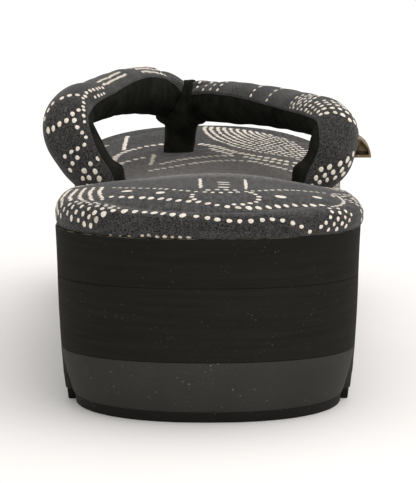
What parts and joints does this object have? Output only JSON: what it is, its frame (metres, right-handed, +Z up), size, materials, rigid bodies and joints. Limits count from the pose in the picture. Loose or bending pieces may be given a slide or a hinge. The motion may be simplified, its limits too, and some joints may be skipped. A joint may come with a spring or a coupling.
{
  "type": "setta sandal",
  "caption": "Platform thong sandal for the right foot: layered rubber and foam wedge sole, dotted cotton footbed, padded V strap held by a toe post.",
  "frame": {"origin": "on the floor, under the middle of the sandal's length and width", "axes": "+X to the outer side of the foot, +Y from heel to toe, +Z up"},
  "size_m": [0.1064, 0.27, 0.0878],
  "materials": {
    "outsole_rubber": "matt moulded rubber, dusty",
    "sole_foam": "matt buffed foam",
    "dotted_cotton": "plain weave, charcoal with cream dots",
    "black_velvet": "short pile",
    "aged_brass": "dark and worn"
  },
  "bodies": {
    "root": {"outsole": "outsole_rubber", "midsole_wedge": "sole_foam", "midsole_deck": "sole_foam", "footbed": "dotted_cotton", "strap": "dotted_cotton", "toe_post": "black_velvet", "brass_tab": "aged_brass"}
  },
  "joints": []
}
